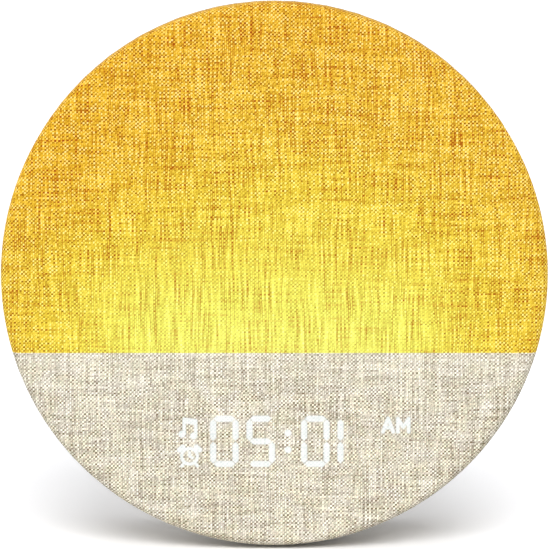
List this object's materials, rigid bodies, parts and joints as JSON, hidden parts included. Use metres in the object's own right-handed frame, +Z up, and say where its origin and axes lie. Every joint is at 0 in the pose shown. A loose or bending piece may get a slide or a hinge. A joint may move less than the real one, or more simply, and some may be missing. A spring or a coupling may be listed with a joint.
{
  "type": "sunrise alarm clock",
  "caption": "Round sunrise alarm clock: cloth-covered lamp face with a hidden digital display, pebble-shaped housing with keys on top and a speaker grille behind, on a narrow foot.",
  "frame": {"origin": "on the ground, at the middle of the whole clock's outline seen from above, under the foot", "axes": "+Z up, -Y is the way the lit face looks, +X to the right when looking at the face"},
  "size_m": [0.18, 0.064, 0.1812],
  "materials": {
    "linen": "plain weave linen-look cloth, cream yarn over grey-brown",
    "opal": "opal light-spreading acrylic",
    "display_panel": "opaque warm grey moulding",
    "frame_plastic": "plain grey moulding",
    "white_reflector": "matte white",
    "steel": "plain zinc-plated steel",
    "white_board": "white solder mask",
    "warm_lamp": "yellow phosphor",
    "light_guide": "clear-white light guide",
    "lamp_chip": "small lamp package",
    "green_board": "green solder mask",
    "housing": "fine spark-eroded texture, warm off-white",
    "grille": "satin, a shade darker than the housing",
    "black_foam": "closed-cell foam",
    "basket": "black painted steel",
    "ferrite": "dark ferrite",
    "black_rubber": "soft matte rubber",
    "paper": "pressed paper",
    "black_plastic": "matte black",
    "aluminium_can": "bare can",
    "ivory_plastic": "ivory connector plastic",
    "cell_steel": "bright nickel",
    "key_plastic": "smooth satin off-white",
    "amber_film": "polyimide film",
    "foot_plastic": "fine texture, mid grey",
    "sole_rubber": "matte rubber",
    "ribbon_white": "flat cable",
    "red_wire": "insulated lead"
  },
  "bodies": {
    "clock": {"fabric_cover": "linen", "diffuser": "opal", "display_panel": "display_panel", "front_frame": "frame_plastic", "light_tray": "white_reflector", "tray_screws": "steel", "wake_led_board": "white_board", "wake_leds": "warm_lamp", "display_block": "white_reflector", "segment_lenses": "light_guide", "display_leds": "lamp_chip", "display_board": "green_board", "display_screws": "steel", "rear_housing": "housing", "case_screws": "steel", "speaker_grille": "grille", "speaker_gasket": "black_foam", "speaker_frame": "basket", "speaker_magnet": "ferrite", "speaker_yoke": "steel", "speaker_surround": "black_rubber", "speaker_screws": "steel", "main_board": "green_board", "board_chips": "black_plastic", "board_capacitors": "aluminium_can", "board_connectors": "ivory_plastic", "cell_holder": "black_plastic", "backup_cell": "cell_steel", "power_jack": "black_plastic", "board_screws": "steel", "key_switches": "black_plastic", "key_board": "amber_film", "key_carrier": "frame_plastic", "carrier_screws": "steel", "base": "foot_plastic", "base_screws": "steel", "rubber_sole": "sole_rubber", "display_ribbon": "ribbon_white", "key_ribbon": "amber_film", "led_lead": "red_wire", "speaker_lead": "black_plastic"},
    "snooze_key_body": {"snooze_key": "key_plastic", "snooze_plunger": "black_plastic"},
    "alarm_key_body": {"alarm_key": "key_plastic", "alarm_plunger": "black_plastic"},
    "light_key_body": {"light_key": "key_plastic", "light_plunger": "black_plastic"},
    "volume_down_key_body": {"volume_down_key": "key_plastic", "volume_down_plunger": "black_plastic"},
    "volume_up_key_body": {"volume_up_key": "key_plastic", "volume_up_plunger": "black_plastic"},
    "speaker_diaphragm": {"speaker_cone": "paper", "speaker_dust_cap": "paper"}
  },
  "joints": [
    {"name": "snooze_press", "type": "slide", "parent": "clock", "child": "snooze_key_body", "axis": [0, 0, -1], "range_m": [0, 0.0008], "stiffness_N_per_m": 1250},
    {"name": "alarm_press", "type": "slide", "parent": "clock", "child": "alarm_key_body", "axis": [0.5, 0, -0.866], "range_m": [0, 0.0008], "stiffness_N_per_m": 1250},
    {"name": "light_press", "type": "slide", "parent": "clock", "child": "light_key_body", "axis": [0.3256, 0, -0.9455], "range_m": [0, 0.0008], "stiffness_N_per_m": 1250},
    {"name": "volume_down_press", "type": "slide", "parent": "clock", "child": "volume_down_key_body", "axis": [-0.3256, 0, -0.9455], "range_m": [0, 0.0008], "stiffness_N_per_m": 1250},
    {"name": "volume_up_press", "type": "slide", "parent": "clock", "child": "volume_up_key_body", "axis": [-0.5, 0, -0.866], "range_m": [0, 0.0008], "stiffness_N_per_m": 1250},
    {"name": "speaker_cone_travel", "type": "slide", "parent": "clock", "child": "speaker_diaphragm", "axis": [0, 1, 0], "range_m": [-0.0005, 0.0005], "stiffness_N_per_m": 1800}
  ]
}
